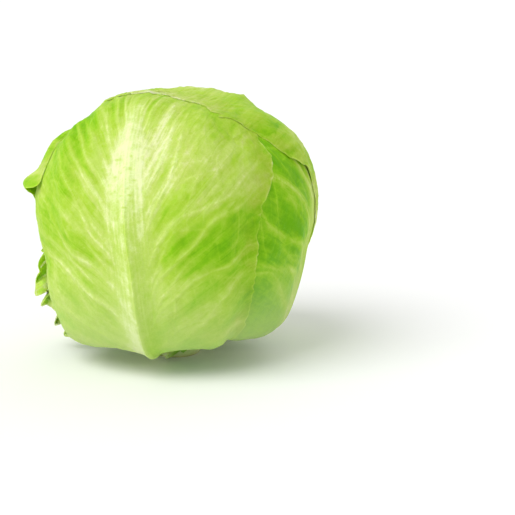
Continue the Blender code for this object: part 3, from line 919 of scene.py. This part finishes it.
class Tree:
    """Short calls for building a material's nodes."""

    def __init__(self, name):
        self.material = bpy.data.materials.new(name)
        self.material.use_nodes = True
        self.nodes = self.material.node_tree.nodes
        self.links = self.material.node_tree.links
        self.shader = self.nodes["Principled BSDF"]

    def feed(self, socket, value):
        """Links an input to another node's output, or sets it."""
        if isinstance(value, bpy.types.NodeSocket):
            self.links.new(value, socket)
        else:
            socket.default_value = value

    def node(self, kind, inputs=None, **settings):
        """A node with its settings and inputs."""
        made = self.nodes.new(kind)
        for key, value in settings.items():
            setattr(made, key, value)
        for key, value in (inputs or {}).items():
            self.feed(made.inputs[key], value)
        return made

    def math(self, operation, a, b=0.0, c=0.0):
        """The result of an operation on up to three values."""
        return self.node("ShaderNodeMath", {0: a, 1: b, 2: c}, operation=operation).outputs[0]

    def coordinates(self):
        """The point's place on the object, in metres."""
        return self.node("ShaderNodeTexCoord").outputs["Object"]

    def noise(self, scale, detail=4.0, roughness=0.55, vector=None):
        """Noise, at the point's own place if none is given."""
        place = vector or self.coordinates()
        inputs = {"Scale": scale, "Detail": detail, "Roughness": roughness, "Vector": place}
        return self.node("ShaderNodeTexNoise", inputs).outputs["Fac"]

    def attribute(self, name, output="Fac"):
        """What the mesh stores under a name."""
        return self.node("ShaderNodeAttribute", attribute_name=name).outputs[output]

    def flow(self, vector, wide, far, detail):
        """Noise in streaks of the given width and length in millimetres."""
        scale = (1 / wide, 1 / far, 0.0)
        stretched = self.node("ShaderNodeMapping", {"Vector": vector, "Scale": scale}).outputs["Vector"]
        return self.noise(1.0, detail, 0.55, stretched)

    def ridge(self, value, sharpness):
        """1 on the thin lines where a noise is at its middle value."""
        away = self.math("ABSOLUTE", self.math("SUBTRACT", value, 0.5))
        return self.math("SUBTRACT", 1.0, self.math("MINIMUM", self.math("MULTIPLY", away, sharpness), 1.0))

    def total(self, *terms):
        """The sum of values, each times its weight."""
        result = 0.0
        for value, weight in terms:
            result = self.math("MULTIPLY_ADD", value, weight, result)
        return result

    def ramp(self, value, stops):
        """Colours for a value: each stop is its place and its web colour."""
        made = self.node("ShaderNodeValToRGB", {0: value})
        elements = made.color_ramp.elements
        while len(elements) < len(stops):
            elements.new(0.5)
        for element, (place, code) in zip(elements, stops):
            element.position = place
            element.color = linear(code)
        return made.outputs["Color"]

    def mix(self, share, a, b):
        """Colour a where the share is 0 and colour b where it is 1."""
        made = self.node("ShaderNodeMix", data_type="RGBA")
        for key, value in (("Factor_Float", share), ("A_Color", a), ("B_Color", b)):
            self.feed(next(s for s in made.inputs if s.identifier == key), value)
        return next(s for s in made.outputs if s.identifier == "Result_Color")

    def set(self, values):
        """Feeds inputs of the shader by name."""
        for name, value in values.items():
            self.feed(self.shader.inputs[name], value)

    def bump(self, height, distance, strength=1.0):
        """Tilts the light on the surface as relief of that height would."""
        made = self.node("ShaderNodeBump", {"Height": height, "Distance": distance, "Strength": strength})
        self.set({"Normal": made.outputs["Normal"]})


def leaf_grain(tree):
    """Streaks along the blade's veins and fibres along the midrib, fading towards the foot."""
    fan, flat = tree.attribute("fan", "Vector"), tree.attribute("flat", "Vector")
    rib = tree.node("ShaderNodeSeparateXYZ", {0: flat}).outputs["Z"]
    broad = tree.flow(fan, 8, 70, 2)
    fine = tree.flow(fan, 2.0, 40, 4)
    thread = tree.ridge(tree.flow(fan, 6, 90, 3), 26.0)
    crease = tree.ridge(tree.flow(fan, 9, 60, 2), 34.0)
    streaks = tree.total((broad, 0.42), (fine, 0.14), (thread, 0.05), (crease, -0.10))
    streaks = tree.math("SUBTRACT", streaks, 0.28)
    fibres = tree.total((tree.flow(flat, 1.3, 45, 3), 0.34), (tree.flow(flat, 4.0, 90, 1), 0.30))
    fibres = tree.math("SUBTRACT", fibres, 0.32)
    grain = tree.math("MULTIPLY_ADD", rib, tree.math("SUBTRACT", fibres, streaks), streaks)
    return tree.math("MULTIPLY", grain, tree.math("MULTIPLY_ADD", tree.attribute("foot"), -0.55, 1.0))


def cell_lines(tree):
    """A fine net: 1 on its lines and 0 inside its cells."""
    inputs = {"Vector": tree.coordinates(), "Scale": 420.0, "Randomness": 1.0}
    cells = tree.node("ShaderNodeTexVoronoi", inputs, feature="DISTANCE_TO_EDGE")
    away = tree.math("MULTIPLY", cells.outputs["Distance"], 9.0)
    return tree.math("SUBTRACT", 1.0, tree.math("MINIMUM", away, 1.0))


def leaf_material(name):
    """Waxy leaf: pale ribs in a green blade, fine mottling, a net of cells and soft light inside."""
    tree = Tree(name)
    grain, lines = leaf_grain(tree), cell_lines(tree)
    mottle = tree.noise(210, 5, 0.62)
    pale = tree.total((tree.attribute("pale"), 1.0), (grain, 1.0), (mottle, 0.46), (lines, 0.05))
    blade = tree.ramp(tree.math("SUBTRACT", pale, 0.245), LEAF_RAMP)
    share = tree.math("MULTIPLY", tree.attribute("foot"), 0.7)
    tree.set({
        "Base Color": tree.mix(share, blade, linear(FOOT_COLOUR)),
        "Roughness": tree.math("MULTIPLY_ADD", tree.noise(90, 3), 0.16, 0.44),
        "Subsurface Weight": 0.6,
        "Subsurface Radius": (0.8, 1.0, 0.4),
        "Subsurface Scale": 0.0025,
        "Specular IOR Level": 0.2,
        "IOR": 1.25,
    })
    relief = tree.total((lines, 0.3), (tree.noise(700, 3), 0.8), (grain, 1.2))
    tree.bump(relief, 0.0004, 0.5)
    return tree.material


def inner_material(name, stops):
    """Matt inner leaf or heart tissue with soft streaks."""
    tree = Tree(name)
    stretched = tree.node("ShaderNodeMapping", {"Vector": tree.coordinates(), "Scale": (1.0, 1.0, 0.25)})
    streaks = tree.noise(60, 5, 0.6, stretched.outputs["Vector"])
    tree.set({
        "Base Color": tree.ramp(streaks, stops),
        "Roughness": tree.math("MULTIPLY_ADD", tree.noise(120), 0.2, 0.35),
        "Subsurface Weight": 0.2,
        "Subsurface Radius": (0.6, 1.0, 0.25),
        "Subsurface Scale": 0.004,
    })
    tree.bump(streaks, 0.0006, 0.5)
    return tree.material


def stem_material():
    """Stem: pale flesh that browns on and near the cut face."""
    tree = Tree("stem_flesh")
    height = tree.node("ShaderNodeSeparateXYZ", {0: tree.coordinates()}).outputs["Z"]
    spots = tree.noise(220, 6, 0.65)
    browned = tree.math("SUBTRACT", 1.0, tree.math("MULTIPLY", height, 1 / (3 * MM)))
    browned = tree.math("MULTIPLY_ADD", tree.math("SUBTRACT", spots, 0.5), 1.3, browned)
    flesh = tree.ramp(tree.noise(90, 5), ((0.3, "#A9C46A"), (0.7, "#CFDF9E")))
    rust = tree.ramp(spots, ((0.3, "#A39A5E"), (0.7, "#C2C184")))
    share = tree.math("MULTIPLY", tree.math("MINIMUM", tree.math("MAXIMUM", browned, 0.0), 1.0), 0.6)
    tree.set({
        "Base Color": tree.mix(share, flesh, rust),
        "Roughness": tree.math("MULTIPLY_ADD", spots, 0.2, 0.5),
        "Subsurface Weight": 0.15,
        "Subsurface Scale": 0.003,
    })
    tree.bump(tree.noise(500, 4), 0.0004, 0.6)
    return tree.material


def dress_nodes():
    """Materials for the solids that stay."""
    heart = inner_material("heart_leaf", ((0.3, "#DCE08A"), (0.7, "#EFF0B8")))
    head = inner_material("inner_leaf", ((0.3, "#A9CF55"), (0.7, "#D3E88E")))
    chosen = {"stem": stem_material(), "heart": heart}
    for number in range(1, HEAD_LEAVES + 1):
        chosen[f"head_leaf_{number}"] = head
    for name, material in chosen.items():
        bpy.data.objects[name].material_slots[0].material = material


# Camera: the photo's view. The target falls on its pixel of the square image
IMAGE = 515
LENS = 100.0
SENSOR = 36.0
DISTANCE = 0.815
TILT = math.radians(12)
TARGET = Vector((0, 0, 78 * MM))
TARGET_PIXEL = (175.0, 219.5)

# Lamps: azimuth, elevation and spread in degrees, and strength
LAMPS = {"key": (-48, 50, 45, 1.9), "fill": (150, 40, 60, 0.3)}

# White surroundings that dim with the height of a direction, and half the floor's side
SKY = {"From Min": 0.1, "From Max": 0.7, "To Min": 1.0, "To Max": 0.5}
FLOOR_HALF = 30.0


def add_camera():
    """A camera at the photo's angle, placed so that the target falls on its pixel."""
    back = Vector((0, -math.cos(TILT), math.sin(TILT)))
    right = Vector((1, 0, 0))
    up = Vector((0, math.sin(TILT), math.cos(TILT)))
    pixel = SENSOR / LENS * DISTANCE / IMAGE
    aside, above = IMAGE / 2 - TARGET_PIXEL[0], TARGET_PIXEL[1] - IMAGE / 2
    middle = TARGET + right * aside * pixel + up * above * pixel
    camera = bpy.data.objects.new("camera", bpy.data.cameras.new("camera"))
    camera.data.lens = LENS
    camera.data.sensor_width = SENSOR
    turn = Matrix((right, up, back)).transposed()
    camera.matrix_world = Matrix.Translation(middle + back * DISTANCE) @ turn.to_4x4()
    bpy.context.scene.collection.objects.link(camera)
    bpy.context.scene.camera = camera


def add_sun(name, azimuth, elevation, spread, strength):
    """A soft lamp so far off that it lights head and floor evenly. Angles are in degrees."""
    light = bpy.data.lights.new(name, "SUN")
    light.angle = math.radians(spread)
    light.energy = strength
    obj = bpy.data.objects.new(name, light)
    obj.rotation_euler = Vector(bearing(azimuth, elevation)).to_track_quat("Z", "Y").to_euler()
    bpy.context.scene.collection.objects.link(obj)


def add_floor():
    """A pale matt floor."""
    mesh = bpy.data.meshes.new("floor")
    corners = [(x * FLOOR_HALF, y * FLOOR_HALF, 0) for x, y in ((-1, -1), (1, -1), (1, 1), (-1, 1))]
    mesh.from_pydata(corners, [], [(0, 1, 2, 3)])
    floor = bpy.data.objects.new("floor", mesh)
    bpy.context.scene.collection.objects.link(floor)
    tree = Tree("floor")
    tree.set({"Base Color": (0.96, 0.96, 0.96, 1), "Roughness": 0.9})
    mesh.materials.append(tree.material)


def add_surroundings():
    """White surroundings that dim overhead, and soft lamps."""
    world = bpy.data.worlds.new("surroundings")
    bpy.context.scene.world = world
    world.use_nodes = True
    nodes, links = world.node_tree.nodes, world.node_tree.links
    background = nodes["Background"]
    background.inputs["Color"].default_value = (1, 1, 1, 1)
    place = nodes.new("ShaderNodeSeparateXYZ")
    links.new(nodes.new("ShaderNodeTexCoord").outputs["Generated"], place.inputs[0])
    dim = nodes.new("ShaderNodeMapRange")
    for name, value in SKY.items():
        dim.inputs[name].default_value = value
    links.new(place.outputs["Z"], dim.inputs["Value"])
    links.new(dim.outputs["Result"], background.inputs["Strength"])
    for name, setting in LAMPS.items():
        add_sun(name, *setting)
    bpy.context.scene.view_settings.view_transform = "Standard"


def main():
    """The whole scene, with the leaves from the inside out."""
    inside, outside = head_leaves(), wrapper_leaves()
    material = leaf_material("wrapper_leaf")
    skins = []
    for number, leaf in enumerate(outside):
        cells = FRONT_CELLS if leaf.name == "wrapper_leaf_front" else OTHER_CELLS
        name = leaf.name.replace("wrapper_leaf", "veined_leaf")
        obj, skin = add_sheet(name, leaf, inside + outside[:number], skins, cells, 11 + 7 * number)
        obj.data.materials.append(material)
        skins.append(skin)
    dress_nodes()
    add_floor()
    add_surroundings()
    add_camera()


main()
